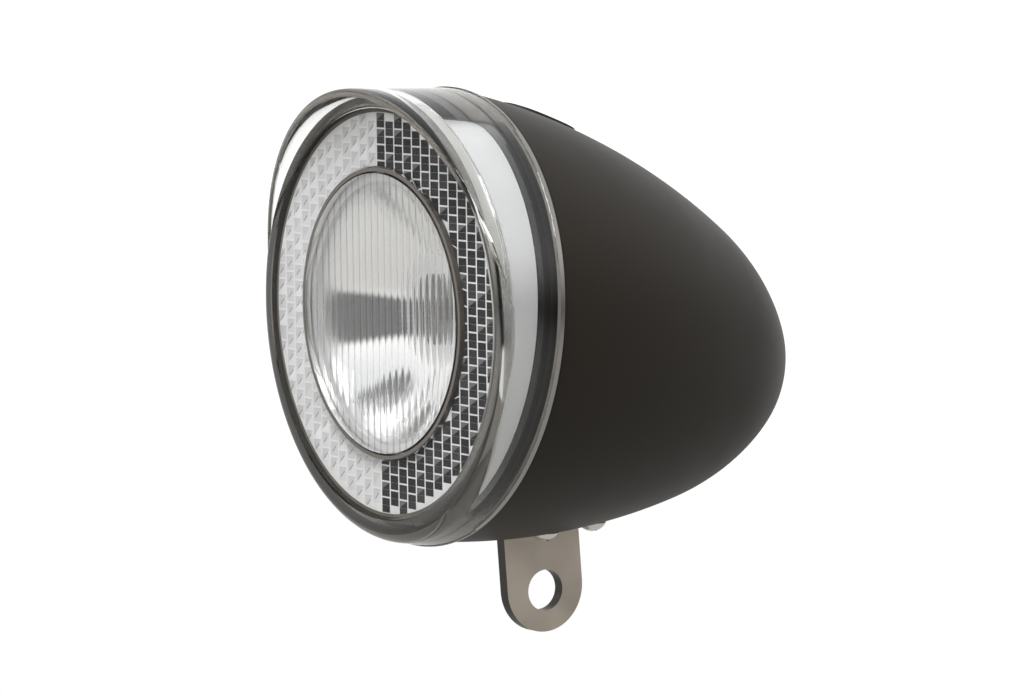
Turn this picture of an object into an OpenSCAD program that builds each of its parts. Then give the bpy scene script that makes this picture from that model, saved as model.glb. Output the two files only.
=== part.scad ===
// Bicycle headlight with a clear visor ring, a reflex ring and a steel mounting tongue.
// The origin is the centre of the tongue's bolt hole. The lamp faces -Y and +Z is up.

/* [Tongue] */
// Diameter of the bolt hole
bolt_hole_d = 6.4; // [5.2:0.1:7]
// Thickness of the tongue plate
tongue_t = 2; // [1.5:0.1:2.5]
// Width of the tongue
tongue_w = 14; // [12:0.5:15]
// Height of the round end's centre above the bolt hole
tongue_end_up = 0.5; // [0:0.1:1]
// Forward lean of the tongue, in degrees
tongue_lean = 4; // [0:0.5:6]
// Width of the tongue's foot plate inside the body
foot_w = 15; // [14.5:0.5:18]
// Thickness of the foot plate
foot_t = 2; // [1.5:0.1:2.5]
// Stations of the two screws along the body axis
tongue_screw_stations = [24.2, 32.8]; // [20:0.1:40]
// Shank diameter of the tongue screws
tongue_screw_d = 3; // [2.5:0.1:3]
// Head diameter of the tongue screws
tongue_head_d = 4.4; // [4:0.1:5]
// Head height of the tongue screws
tongue_head_h = 1.4; // [1:0.1:1.8]

/* [Body] */
// Height of the flange centre above the bolt hole
flange_up = 43.7; // [43:0.1:47]
// Distance of the flange centre in front of the bolt hole
flange_fwd = 19.3; // [18:0.1:20.5]
// Outer radius of the body at the flange
body_r = 34.3; // [34:0.1:35]
// Length of the body from the flange centre to its tip
body_len = 63.4; // [62:0.2:70]
// Radius of the rounded nose
nose_r = 18.5; // [17:0.1:20]
// Turn of the outline at the flange, in degrees
front_turn = 3.2; // [2.6:0.1:3.6]
// Turn of the outline where the flank meets the shoulder
shoulder_turn = 25.3; // [24:0.1:27]
// Turn of the outline where the shoulder meets the nose
nose_turn = 46.9; // [45:0.1:49]
// Droop of the body axis towards the rear, in degrees
body_droop = 11.8; // [10:0.1:12.5]
// Wall thickness of the body
wall = 2; // [1.6:0.1:2.1]
// Wall thickness at the mouth of the body
mouth_wall = 2.8; // [2.6:0.1:3]

/* [Button] */
// Station of the button's centre along the body axis
button_station = 13; // [12.5:0.1:14]
// Length of the button
button_len = 13; // [11:0.25:13.5]
// Width of the button
button_w = 8; // [7:0.5:9]
// Height of the button above the body
button_proud = 0.45; // [0.3:0.05:1]
// Travel of the button
button_travel = 1; // [0.8:0.1:1.2]
// Diameter of the button's stem
stem_d = 4; // [3:0.5:4.5]

/* [Front ring] */
// Tilt of the flange plane, its top leaning back, in degrees
unit_tilt = 5.74; // [5:0.02:6.5]
// Distance of the lens plane in front of the flange plane
front_reach = 10; // [9.8:0.1:11]
// Reach of the rear lip past the body
lip_over = 0.7; // [0.5:0.1:1.5]
// Thickness of the rear lip
lip_t = 1; // [0.8:0.1:1.2]
// Rise of the ring wall above the body's outline, at the lip
ring_rise = 0.5; // [0.4:0.05:0.6]
// Taper of the ring wall from the lip to the tip of the visor
ring_taper = 1.45; // [1.2:0.05:1.7]
// Thickness of the ring wall at the lens plane
ring_wall = 2.1; // [1.8:0.1:2.3]
// Rounding of the front rim
rim_round = 1.6; // [1:0.1:1.8]
// Thickness of the visor
visor_t = 1.3; // [1:0.1:1.4]
// Height above the lens centre where the visor leaves the rim
visor_start = 11; // [8:0.5:14]
// Forward slope of the visor's edge, in degrees
visor_slope = 10.8; // [6:0.2:12]
// Turns about the axis where the thick stretch of the rear lip starts and ends, on each side
lip_ends = [-62, 56]; // [-80:1:80]

/* [Lens and reflex ring] */
// Width of the front face of the rim
rim_land = 2.95; // [2.7:0.05:3.2]
// Width of the reflex ring
reflex_w = 8.7; // [7.5:0.1:9.5]
// Thickness of the fluted lens
lens_t = 2.4; // [2:0.1:2.6]
// Number of flutes across the lens
flutes = 24; // [16:1:30]
// Depth of the flutes
flute_depth = 0.45; // [0.2:0.05:0.6]
// Width of the dark gasket round the lens
gasket_w = 0.8; // [0.6:0.1:1]
// Thickness of the reflex ring under its prisms
reflex_base = 1.7; // [1.4:0.1:1.9]
// Height of the reflex prisms
prism_h = 0.7; // [0.4:0.1:0.8]
// Pitch of the reflex prisms
prism_pitch = 2.43; // [2.2:0.01:3]
// Gap between neighbouring prisms
prism_gap = 0.3; // [0.2:0.05:0.4]

/* [Reflector and light] */
// Depth of the bowl from its mouth to its vertex
bowl_depth = 11.8; // [10.5:0.1:12.5]
// Wall thickness of the bowl
bowl_t = 1.3; // [1:0.1:1.5]
// Radius of the light opening in the bowl
light_r = 5.5; // [4.5:0.1:5.8]
// Radius of the light's round board
led_board_r = 8.5; // [8.2:0.1:9]
// Thickness of the light's round board
led_board_t = 1.2; // [1:0.1:1.6]
// Side of the light's square package
led_w = 3.4; // [3:0.1:4]
// Number of fins on the heat sink
sink_fins = 5; // [3:1:6]

/* [Carrier] */
// Gap between the carrier and the mouth of the body
plug_gap = 0.6; // [0.5:0.05:0.8]
// Thickness of the carrier's back plate
plate_t = 1.8; // [1.5:0.1:2]
// Distance of the plate's rear face behind the flange plane
plate_back = 5; // [4.8:0.1:5.2]
// Wall of the carrier's plug
plug_wall = 1.9; // [1.6:0.1:2.4]
// Thickness of the mouth seal
seal_d = 1.6; // [1.4:0.1:1.8]
// Shank diameter of the small screws
small_screw_d = 2.2; // [2:0.1:2.4]
// Thickness of the switch board
board_t = 1.6; // [1.2:0.1:1.8]
// Width of the switch board
board_w = 16; // [14:0.5:18]
// Length of the switch board
board_len = 15.5; // [14:0.5:17]
// Side of the square switch
switch_w = 6; // [5:0.5:6.5]
// Height of the square switch
switch_h = 3.5; // [3:0.1:4]
// Diameter of the switch's plunger
plunger_d = 3.4; // [3:0.1:3.8]

/* [Cells] */
// Diameter of a cell, as a share of the body's length
cell_d_share = 0.1656; // [0.15:0.0002:0.167]
// Length of a cell over its nub, as a share of the body's radius
cell_len_share = 1.2974; // [1.2:0.0002:1.3]
// Height of the cells' middle below the flange axis
cell_drop = 3; // [2.6:0.1:3.4]
// Distance of the front pair of cells behind the flange plane, as a share of the body's length
cell_back_share = 0.284; // [0.275:0.0005:0.287]
// Length of a contact spring between cell and plate
spring_len = 2.6; // [2.5:0.05:2.8]
// Radius of a contact spring
spring_r = 3; // [2.5:0.1:3.5]
// Diameter of the spring wire
spring_wire_d = 0.5; // [0.4:0.05:0.55]
// Turns of a contact spring
spring_turns = 2; // [1.5:0.25:2]
// Thickness of the contact plates
contact_t = 0.3; // [0.2:0.05:0.4]
// Wall of the battery cradle's ends
cradle_wall = 1; // [0.8:0.05:1.15]

/* [Hidden] */
$fn = 96;

// Clearances shared by the fits
fit = 0.05;
play = 0.15;
loose = 0.3;
far = 120;

// Outline of the body: three arcs, tangent to each other, whose radii follow from its size.
turn_in = body_r - nose_r * cos(nose_turn);
turn_along = body_len - nose_r * (1 - sin(nose_turn));
flank_in = cos(front_turn) - cos(shoulder_turn);
flank_along = sin(shoulder_turn) - sin(front_turn);
shoulder_in = cos(shoulder_turn) - cos(nose_turn);
shoulder_along = sin(nose_turn) - sin(shoulder_turn);
solve = flank_in * shoulder_along - shoulder_in * flank_along;
flank_r = (turn_in * shoulder_along - shoulder_in * turn_along) / solve;
shoulder_r = (flank_in * turn_along - flank_along * turn_in) / solve;
nose_s = body_len - nose_r;
shoulder_s = nose_s + (nose_r - shoulder_r) * sin(nose_turn);
shoulder_c = (nose_r - shoulder_r) * cos(nose_turn);
flank_s = shoulder_s + (shoulder_r - flank_r) * sin(shoulder_turn);
flank_c = shoulder_c + (shoulder_r - flank_r) * cos(shoulder_turn);
front_spare = 6;

function flank_end(inset) = flank_s + (flank_r - inset) * sin(shoulder_turn);
function shoulder_end(inset) = shoulder_s + (shoulder_r - inset) * sin(nose_turn);
function arc_height(r, offset) = sqrt(r * r - offset * offset);
function body_radius(s, inset) =
    s < flank_end(inset) ? flank_c + arc_height(flank_r - inset, s - flank_s)
    : s < shoulder_end(inset) ? shoulder_c + arc_height(shoulder_r - inset, s - shoulder_s)
    : arc_height(nose_r - inset, s - nose_s);
// Place of the underside at a station and a distance x to the side, as [y, z]
function underside(s, inset, x = 0) =
    let(down = arc_height(body_radius(s, inset), x))
    [
        -flange_fwd + s * cos(body_droop) - down * sin(body_droop),
        flange_up - s * sin(body_droop) - down * cos(body_droop)
    ];

// Tongue foot, seated on a flat pad inside the body
foot_end_station = tongue_screw_stations[1] + tongue_head_d / 2 + 0.6 * foot_t;
foot_rear = underside(foot_end_station, wall)[0];
pad_top = underside(foot_end_station, wall, foot_w / 2)[1] + loose;
foot_top = pad_top + foot_t;
foot_front = -tongue_w / 2 - foot_top * sin(tongue_lean) - 0.75 * foot_t;
tongue_screw_x = (tongue_t + tongue_head_d) / 2 + 0.2 * tongue_t;
seat_sink = 0.15 * tongue_screw_d;
nut_h = 0.8 * tongue_screw_d;
nut_d = 2.05 * tongue_screw_d;
tongue_screws_at = [
    for (i = [0, 1])
        let(place = underside(tongue_screw_stations[i], 0))
        [tongue_screw_x, place[0], place[1] + seat_sink]
];

// Button, square to the body where it sits
button_turn = asin((button_station - flank_s) / flank_r);
button_up = body_radius(button_station, 0);
flange_w = 1.3;
well_wall = 0.9;
side_drop = pow(button_w / 2 + flange_w + loose, 2) / (2 * button_up);
end_drop = pow(button_len / 2 + flange_w + loose, 2) / (2 * flank_r);
button_flange_top = -wall - side_drop - end_drop - loose;
button_flange_t = 0.8;
well_floor = button_flange_top - button_flange_t - button_travel - loose;
well_t = 1;
stem_end = well_floor - well_t - loose;
plunger_travel = button_travel / 4;
plunger_top = stem_end - button_travel + plunger_travel - 0.1;
plunger_show = 0.6;
plunger_h = 2.2;
switch_top = plunger_top - plunger_show;
board_top = switch_top - switch_h;
shelf_top = board_top - board_t;
shelf_t = 1.5;
rib_h = 6;
board_front = -6;
board_hole_in = 2.5;
board_holes_at = [for (x = [-1, 1]) [x * (board_w / 2 - board_hole_in), board_front + board_len - board_hole_in]];

// Front ring and what it holds
lip_r = body_r + lip_over;
mouth_r = body_r - mouth_wall;
plug_r = mouth_r - plug_gap;
plug_end_gap = 0.8;
mouth_depth = plate_back + plug_end_gap;
mouth_gap = 0.2;
ring_rear_r = body_r + ring_rise;
ring_tip_r = ring_rear_r - ring_taper;
visor_reach = front_reach + ring_tip_r * (sin(unit_tilt) + tan(visor_slope));
ring_slope = ring_taper / (visor_reach - lip_t);
ring_rim_r = ring_rear_r - ring_slope * (front_reach - lip_t);
rim_drop = ring_slope * ring_rim_r * tan(unit_tilt);
ring_bore_r = ring_rim_r - ring_wall;
seat_r = ring_rim_r - rim_land;
reflex_r = seat_r - play;
reflex_t = reflex_base + prism_h;
reflex_in = reflex_r - reflex_w;
lens_r = reflex_in - gasket_w - 2 * play;
prism_rows = ceil(reflex_r / prism_pitch);
flute_pitch = 2 * lens_r / flutes;
flute_half = (flute_pitch - play) / 2;
flute_r = (flute_half * flute_half + flute_depth * flute_depth) / (2 * flute_depth);

// Bowl, in the frame of the lens
bowl_front = -reflex_t - play;
bowl_flange_t = 1.1;
bowl_r = lens_r - 2 * loose;
bowl_vertex = bowl_front - bowl_flange_t / 2 - bowl_depth;
bowl_focus = bowl_r * bowl_r / (4 * bowl_depth);
bowl_steps = 20;
skirt_r = ring_bore_r - 0.5;
skirt_wall = 1.2;
band_front = front_reach - ring_bore_r * sin(unit_tilt) + bowl_front - bowl_flange_t - loose;
skirt_end = band_front + loose;
collar_r = led_board_r + 0.7;
collar_back = bowl_vertex - 0.5;
collar_h = 2.5;
led_screw_at = (led_board_r + light_r) / 2;
led_screw_d = 1.6;
led_head_d = 2.6;
led_head_h = 0.9;
sink_r = led_screw_at - led_head_d / 2 - play;
sink_front = collar_back - led_board_t;

// Carrier and cradle, in the frame of the flange
plate_front = -plate_back + plate_t;
plate_hole_r = collar_r + 3.8;
seal_z = -plate_back / 2;
seal_ring_r = plug_r + loose - seal_d / 2;
bowl_screw_turns = [90, 210, 330];
boss_r = 2.4;
bowl_screw_circle = (bowl_r + skirt_r - skirt_wall) / 2;
bowl_screw_grip = 4.6;
small_head_d = 4;
small_head_h = 1.3;
cell_d = cell_d_share * body_len;
cell_len = cell_len_share * body_r;
cell_back = cell_back_share * body_len;
cell_pitch = cell_d + loose;
cavity = cell_len + spring_len + 2 * contact_t;
saddle_t = 1.8;
cradle_front = -cell_back + cell_d / 2 + saddle_t;
saddle_back = -cell_back + saddle_t;
post_x = 0.375 * cavity;
post_r = 3.2;
post_grip = 5.4;
sink_gap = 1;
sink_h = sink_front - (cradle_front - front_reach + sink_r * sin(unit_tilt) + sink_gap);
cells_at = [
    [-cell_drop + cell_pitch / 2, -cell_back],
    [-cell_drop - cell_pitch / 2, -cell_back],
    [-cell_drop, -cell_back - cell_pitch * sqrt(3) / 2]
];
// Side of the cradle that carries each cell's spring
spring_sides = [1, -1, 1];
cell_rim_r = cell_d / 2 + 0.7;
wire_d = 1.2;
wire_x = 2.6;
wire_bend = 1.6;

// Frames of the lamp

module at_flange() translate([0, -flange_fwd, flange_up]) rotate([90 - unit_tilt, 0, 0]) children();

module at_body() translate([0, -flange_fwd, flange_up]) rotate([90 - body_droop, 0, 0]) children();

module at_lens() at_flange() translate([0, 0, front_reach]) rotate([unit_tilt, 0, 0]) children();

module at_button() at_body()
    translate([0, button_up, -button_station]) rotate([-90 - button_turn, 0, 0]) children();

// Space behind a plane at height z of the frame it is drawn in
module behind(z) translate([-far / 2, -far / 2, z - far]) cube([far, far, far]);

// Cylinder along X, centred on x = 0
module cross_rod(r, len) rotate([0, 90, 0]) cylinder(r = r, h = len, center = true);

module stadium(len, w) {
    square([w, len - w], center = true);
    for (side = [-1, 1]) translate([0, side * (len - w) / 2]) circle(d = w);
}

module rounded_plate(w, len, r) {
    square([w - 2 * r, len], center = true);
    square([w, len - 2 * r], center = true);
    for (x = [-1, 1], y = [-1, 1]) translate([x * (w / 2 - r), y * (len / 2 - r)]) circle(r);
}

// Pan-head screw that points up from the seat at z = 0
module pan_screw(shank_d, len, head_d, head_h) {
    dome = (head_d * head_d / 4 + head_h * head_h) / (2 * head_h);
    cylinder(d = shank_d, h = len);
    difference() {
        rotate_extrude() intersection() {
            translate([0, dome - head_h]) circle(dome);
            translate([0, -head_h]) square([head_d, head_h]);
        }
        for (turn = [0, 90]) rotate(turn)
            translate([-head_d / 4, -head_d / 16, -head_h]) cube([head_d / 2, head_d / 8, head_h / 2]);
    }
}

// Body

module body_profile(inset) {
    shoulder_h = shoulder_end(inset) - flank_end(inset);
    intersection() {
        translate([flank_c, -flank_s]) circle(flank_r - inset);
        translate([0, -flank_end(inset)]) square([far, flank_end(inset) + front_spare]);
    }
    intersection() {
        translate([shoulder_c, -shoulder_s]) circle(shoulder_r - inset);
        translate([0, -flank_end(inset)]) translate([0, -shoulder_h]) square([far, shoulder_h]);
    }
    intersection() {
        translate([0, -nose_s]) circle(nose_r - inset);
        translate([0, -flank_end(inset)]) translate([0, -shoulder_h]) translate([0, -nose_r])
            square([far, nose_r]);
    }
}

module body_form(inset) at_body() rotate_extrude($fn = 300) body_profile(inset, $fn = 600);

module foot_pad() translate([-foot_w / 2 - 1, foot_front - 1, -far + pad_top])
    cube([foot_w + 2, foot_rear - foot_front + 2, far]);

module housing_shell() color("#2b2826") difference() {
    intersection() {
        body_form(0);
        at_flange() behind(-mouth_gap);
    }
    difference() {
        body_form(wall);
        at_flange() behind(far - mouth_depth);
        foot_pad();
    }
    at_flange() translate([0, 0, -mouth_depth - loose]) cylinder(r = mouth_r, h = 2 * mouth_depth);
    rotate([tongue_lean, 0, 0]) translate([-tongue_t / 2 - play, -tongue_w / 2 - play, 0])
        cube([tongue_t + 2 * play, tongue_w + 2 * play, far / 4]);
    for (at = tongue_screws_at) translate(at) {
        cylinder(d = tongue_screw_d + 2 * play, h = far / 4);
        translate([0, 0, -far / 12]) cylinder(d = tongue_head_d + 2 * play, h = far / 12);
    }
    at_button() translate([0, 0, -3 * wall]) linear_extrude(6 * wall)
        stadium(button_len + 2 * loose, button_w + 2 * loose);
}

module mount_tongue() color("#8c857b") difference() {
    union() {
        intersection() {
            rotate([tongue_lean, 0, 0]) rotate([90, 0, 90]) translate([0, 0, -tongue_t / 2])
                linear_extrude(tongue_t) {
                    translate([0, tongue_end_up]) circle(d = tongue_w);
                    translate([-tongue_w / 2, tongue_end_up]) square([tongue_w, far / 4]);
                }
            translate([0, 0, foot_top]) behind(0);
        }
        translate([0, (foot_front + foot_rear) / 2, pad_top]) linear_extrude(foot_t)
            rounded_plate(foot_w, foot_rear - foot_front, foot_t);
    }
    cross_rod(bolt_hole_d / 2, far);
    for (at = tongue_screws_at) translate(at) cylinder(d = tongue_screw_d + 2 * play, h = far / 4);
}

module tongue_screws() color("#a8a49c") for (at = tongue_screws_at) translate(at)
    pan_screw(tongue_screw_d, foot_top + 1.25 * nut_h - at[2], tongue_head_d, tongue_head_h);

module tongue_nuts() color("#9a968e") for (at = tongue_screws_at)
    translate([at[0], at[1], foot_top]) difference() {
        cylinder(d = nut_d, h = nut_h, $fn = 6);
        translate([0, 0, -nut_h]) cylinder(d = tongue_screw_d + 2 * fit, h = 3 * nut_h);
    }

// Button and switch

module power_button() color("#1d1c1b") {
    intersection() {
        body_form(-button_proud);
        at_button() translate([0, 0, button_flange_top - button_flange_t])
            linear_extrude(far / 4) stadium(button_len, button_w);
    }
    at_button() translate([0, 0, button_flange_top - button_flange_t]) linear_extrude(button_flange_t)
        stadium(button_len + 2 * flange_w, button_w + 2 * flange_w);
    at_button() translate([0, 0, stem_end]) cylinder(d = stem_d, h = button_flange_top - stem_end);
}

module button_retainer() color("#26241f") difference() {
    intersection() {
        at_button() translate([0, 0, well_floor - well_t]) linear_extrude(far / 4)
            stadium(button_len + 2 * (flange_w + loose + well_wall), button_w + 2 * (flange_w + loose + well_wall));
        body_form(wall + fit);
        at_flange() behind(-mouth_depth - fit);
    }
    at_button() translate([0, 0, well_floor]) linear_extrude(far / 4)
        stadium(button_len + 2 * (flange_w + loose), button_w + 2 * (flange_w + loose));
    at_button() translate([0, 0, well_floor - far / 4]) cylinder(d = stem_d + 2 * loose, h = far / 2);
}

module switch_plunger() color("#b8b2a6") at_button()
    translate([0, 0, plunger_top - plunger_h]) cylinder(d = plunger_d, h = plunger_h);

module tact_switch() color("#3a3a3c") at_button() difference() {
    union() {
        translate([0, 0, board_top]) linear_extrude(switch_h) rounded_plate(switch_w, switch_w, 0.5);
        for (x = [-1, 1], y = [-1, 1])
            translate([x * (switch_w / 2 + 0.4) - 0.5, y * switch_w / 3 - 0.4, board_top]) cube([1, 0.8, 0.5]);
    }
    translate([0, 0, plunger_top - plunger_h - plunger_travel - fit]) cylinder(d = plunger_d + 2 * fit, h = far / 4);
}

module control_board() color("#1f5a35") at_button() difference() {
    translate([0, board_front + board_len / 2, shelf_top]) linear_extrude(board_t)
        rounded_plate(board_w, board_len, 1);
    for (at = board_holes_at) translate([at[0], at[1], shelf_top - 1])
        cylinder(d = small_screw_d + 2 * play, h = board_t + 2);
}

module board_screws() color("#a8a49c") at_button()
    for (at = board_holes_at) translate([at[0], at[1], board_top])
        rotate([180, 0, 0]) pan_screw(small_screw_d, board_t + shelf_t, small_head_d, small_head_h);

// Front ring

module ring_outline() polygon([
    [0, 0], [lip_r, 0], [lip_r, lip_t], [ring_rear_r, lip_t], [ring_tip_r, visor_reach], [0, visor_reach]
]);

module visor_outline() polygon([
    [ring_rear_r - visor_t, lip_t], [ring_rear_r, lip_t],
    [ring_tip_r, visor_reach], [ring_tip_r - visor_t, visor_reach]
]);

module rim_cap() translate([0, -rim_drop, 0]) rotate_extrude() {
    round_at = ring_rim_r - play - rim_round;
    translate([0, -far]) square([far, far - rim_round]);
    translate([0, -rim_round]) square([round_at, rim_round]);
    intersection() {
        translate([round_at, -rim_round]) circle(rim_round);
        translate([round_at, -rim_round]) square(rim_round);
    }
}

module visor_space() intersection() {
    translate([-far / 2, -far / 2, -rim_round]) cube([far, far, far]);
    translate([0, visor_start, 0]) rotate([visor_slope, 0, 0]) behind(0);
}

module lip_notch(from, to) rotate(from) rotate_extrude(angle = to - from)
    translate([lip_r - loose, 0.55 * lip_t]) square(lip_t);

module lens_ring() color("#dfe4e6") difference() {
    union() {
        intersection() {
            at_flange() rotate_extrude() ring_outline();
            at_lens() rim_cap();
        }
        intersection() {
            at_flange() rotate_extrude() visor_outline();
            at_lens() visor_space();
        }
    }
    intersection() {
        at_flange() translate([0, 0, -1]) cylinder(r = ring_bore_r, h = visor_reach);
        at_lens() behind(-reflex_t);
    }
    at_lens() translate([0, 0, -reflex_t - 1]) cylinder(r = seat_r, h = far);
    at_flange() {
        lip_notch(lip_ends[1], 180 - lip_ends[1]);
        lip_notch(180 - lip_ends[0], 360 + lip_ends[0]);
    }
}

module reflex_ring() color("#c9cdd0") at_lens() {
    translate([0, 0, -reflex_base]) linear_extrude(reflex_base) difference() {
        circle(reflex_r);
        circle(reflex_in);
    }
    side = prism_pitch - prism_gap;
    for (i = [-prism_rows:prism_rows], j = [-prism_rows:prism_rows])
        let(
            x = i * prism_pitch,
            y = (j + (i % 2 == 0 ? 0 : 0.5)) * prism_pitch,
            outer = norm([abs(x) + side / 2, abs(y) + side / 2]),
            inner = norm([max(abs(x) - side / 2, 0), max(abs(y) - side / 2, 0)])
        )
        if (outer < reflex_r && inner > reflex_in)
            translate([x - side / 2, y - side / 2, -reflex_t]) cube([side, side, prism_h + 0.1]);
}

module front_lens() color("#e6eaec") at_lens() difference() {
    translate([0, 0, -lens_t]) cylinder(r = lens_r, h = lens_t);
    for (i = [0:flutes - 1])
        translate([(i - (flutes - 1) / 2) * flute_pitch, 0, -lens_t - flute_r + flute_depth])
            rotate([90, 0, 0]) cylinder(r = flute_r, h = far, center = true);
}

module lens_gasket() color("#3b3733") at_lens() translate([0, 0, -reflex_t])
    linear_extrude(reflex_t - play) difference() {
        circle(lens_r + play + gasket_w);
        circle(lens_r + play);
    }

// Reflector and light

function bowl_curve(back) = [
    for (i = [0:bowl_steps])
        let(r = light_r + (bowl_r - light_r) * i / bowl_steps)
        [r, bowl_vertex + r * r / (4 * bowl_focus) - back]
];

module bowl_boss(r, from, to) at_flange() for (turn = bowl_screw_turns)
    translate([bowl_screw_circle * cos(turn), bowl_screw_circle * sin(turn), from])
        cylinder(r = r, h = to - from);

module reflector_bowl() color("#d6d8da") difference() {
    union() {
        at_lens() rotate_extrude() {
            polygon(concat(bowl_curve(0), [for (i = [bowl_steps:-1:0]) bowl_curve(bowl_t)[i]]));
            translate([bowl_r - bowl_t / 2, bowl_front - bowl_flange_t])
                square([skirt_r - 0.7 - bowl_r + bowl_t / 2, bowl_flange_t]);
            translate([light_r, collar_back]) square([collar_r - light_r, collar_h]);
        }
        intersection() {
            union() {
                at_flange() translate([0, 0, skirt_end]) rotate_extrude()
                    translate([skirt_r - skirt_wall, 0]) square([skirt_wall, far]);
                bowl_boss(boss_r, plate_front, front_reach);
            }
            at_lens() behind(bowl_front - bowl_flange_t / 2);
        }
    }
    bowl_boss(small_screw_d / 2 + fit, plate_front - 1, plate_front + bowl_screw_grip + loose);
    at_lens() for (x = [-1, 1]) translate([x * led_screw_at, 0, collar_back - 1])
        cylinder(d = led_screw_d + 2 * fit, h = 3);
}

module bowl_screws() color("#a8a49c") at_flange() for (turn = bowl_screw_turns)
    translate([bowl_screw_circle * cos(turn), bowl_screw_circle * sin(turn), -plate_back])
        pan_screw(small_screw_d, plate_t + bowl_screw_grip, small_head_d, small_head_h);

module led_board() color("#e9e6dc") at_lens() difference() {
    translate([0, 0, collar_back - led_board_t]) cylinder(r = led_board_r, h = led_board_t);
    for (x = [-1, 1]) translate([x * led_screw_at, 0, collar_back - led_board_t - 1])
        cylinder(d = led_screw_d + 2 * play, h = led_board_t + 2);
}

module led_emitter() color("#f2d46b") at_lens() {
    translate([-led_w / 2, -led_w / 2, collar_back]) cube([led_w, led_w, 0.7]);
    intersection() {
        translate([0, 0, collar_back + 0.5]) sphere(led_w * 0.42);
        translate([-led_w, -led_w, collar_back + 0.3]) cube([2 * led_w, 2 * led_w, led_w]);
    }
}

module led_screws() color("#a8a49c") at_lens() for (x = [-1, 1])
    translate([x * led_screw_at, 0, collar_back - led_board_t])
        pan_screw(led_screw_d, 2.5 * led_board_t, led_head_d, led_head_h);

module heat_sink() color("#b9bcbf") at_lens() {
    fin_gap = 2 * sink_r / (2 * sink_fins - 1);
    translate([0, 0, sink_front - sink_h]) difference() {
        cylinder(r = sink_r, h = sink_h);
        for (i = [0:sink_fins - 2])
            translate([-sink_r + fin_gap * (2 * i + 1), -sink_r, -sink_h]) cube([fin_gap, 2 * sink_r, 1.6 * sink_h]);
    }
}

// Carrier, with its shelf for the switch board

module shelf_form() at_button() {
    reach = 1.5 * board_len;
    translate([-board_w / 2 - 0.5, board_front + board_len - reach + 0.5, shelf_top - shelf_t])
        cube([board_w + 1, reach, shelf_t]);
    for (x = [-1, 1]) translate([x * (board_w / 2 - 0.5) - 0.75, 0, 0]) rotate([90, 0, 90])
        linear_extrude(1.5) polygon([
            [board_front - 0.45 * board_len, shelf_top - shelf_t / 2],
            [board_front + board_len - 3, shelf_top - shelf_t / 2],
            [board_front - 0.45 * board_len, shelf_top - shelf_t - rib_h]
        ]);
}

module carrier() color("#211f1e") difference() {
    union() {
        at_flange() rotate_extrude() {
            translate([plate_hole_r, -plate_back]) square([plug_r - plate_hole_r, plate_t]);
            translate([plug_r - plug_wall, -plate_back]) square([plug_wall, plate_back + band_front]);
            translate([plug_r - plug_wall, loose]) square([skirt_r - plug_r + plug_wall, band_front - loose]);
        }
        intersection() {
            shelf_form();
            at_flange() behind(-plate_back + plate_t / 2);
        }
    }
    at_flange() translate([0, 0, seal_z]) rotate_extrude()
        translate([seal_ring_r - seal_d / 2 - fit, -seal_d / 2 - play]) square(seal_d + 2 * play);
    bowl_boss(small_screw_d / 2 + play, -plate_back - 1, plate_front + 1);
    at_flange() for (x = [-1, 1]) translate([x * post_x, -cell_drop, -plate_back - 1])
        cylinder(d = small_screw_d + 2 * play, h = plate_t + 2);
    at_button() for (at = board_holes_at) translate([at[0], at[1], shelf_top - shelf_t - 1])
        cylinder(d = small_screw_d + 2 * fit, h = shelf_t + 2);
    wire_rise(wire_d / 2 + play);
}

module mouth_seal() color("#2a2a2a") at_flange() translate([0, 0, seal_z])
    rotate_extrude() translate([seal_ring_r, 0]) circle(d = seal_d, $fn = 48);

// Cells and their cradle

// Draws along X in the frame of the flange, so that the outline lies in that frame's [y, z]
module along_x(len) at_flange() rotate([90, 0, 90]) translate([0, 0, -len / 2]) linear_extrude(len) children();

module cradle_end() {
    for (at = cells_at) translate(at) circle(cell_rim_r);
    polygon(cells_at);
    for (i = [0:2]) {
        a = cells_at[i];
        b = cells_at[(i + 1) % 3];
        translate(a) rotate(atan2(b[1] - a[1], b[0] - a[0]))
            translate([0, -cell_rim_r]) square([norm(b - a), 2 * cell_rim_r]);
    }
    translate([-cell_drop - cell_pitch / 2 - cell_rim_r, -cell_back])
        square([cell_pitch + 2 * cell_rim_r, cell_back + cradle_front]);
}

module battery_cradle() color("#26241f") difference() {
    union() {
        difference() {
            along_x(cavity + 2 * cradle_wall) cradle_end();
            along_x(cavity) translate([-far / 2, saddle_back - far]) square(far);
        }
        at_flange() for (x = [-1, 1]) translate([x * post_x, -cell_drop, cradle_front - 1])
            cylinder(r = post_r, h = -plate_back - cradle_front + 1);
    }
    along_x(cavity) for (at = cells_at) translate(at) circle(cell_d / 2 + play);
    at_flange() for (x = [-1, 1]) translate([x * post_x, -cell_drop, -plate_back - post_grip - loose])
        cylinder(d = small_screw_d + 2 * fit, h = post_grip + 1);
}

module cradle_screws() color("#a8a49c") at_flange() for (x = [-1, 1])
    translate([x * post_x, -cell_drop, plate_front]) rotate([180, 0, 0])
        pan_screw(small_screw_d, plate_t + post_grip, small_head_d, small_head_h);

module cell(i) at_flange() translate([0, cells_at[i][0], cells_at[i][1]])
    rotate([0, -90 * spring_sides[i], 0]) translate([0, 0, cavity / 2 - contact_t - cell_len])
        rotate_extrude() {
            square([cell_d / 2 - 0.5, cell_len - 1.2]);
            translate([0, 0.5]) square([cell_d / 2, cell_len - 2.2]);
            square([1.9, cell_len]);
        }

module battery_upper() color("#7a3b2a") cell(0);

module battery_lower() color("#7a3b2a") cell(1);

module battery_rear() color("#7a3b2a") cell(2);

module contact_plates() color("#c9c2ae") for (i = [0:2], side = [-1, 1])
    at_flange() translate([side * (cavity - contact_t) / 2, cells_at[i][0], cells_at[i][1]])
        cross_rod(cell_d / 2 - 1, contact_t);

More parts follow.
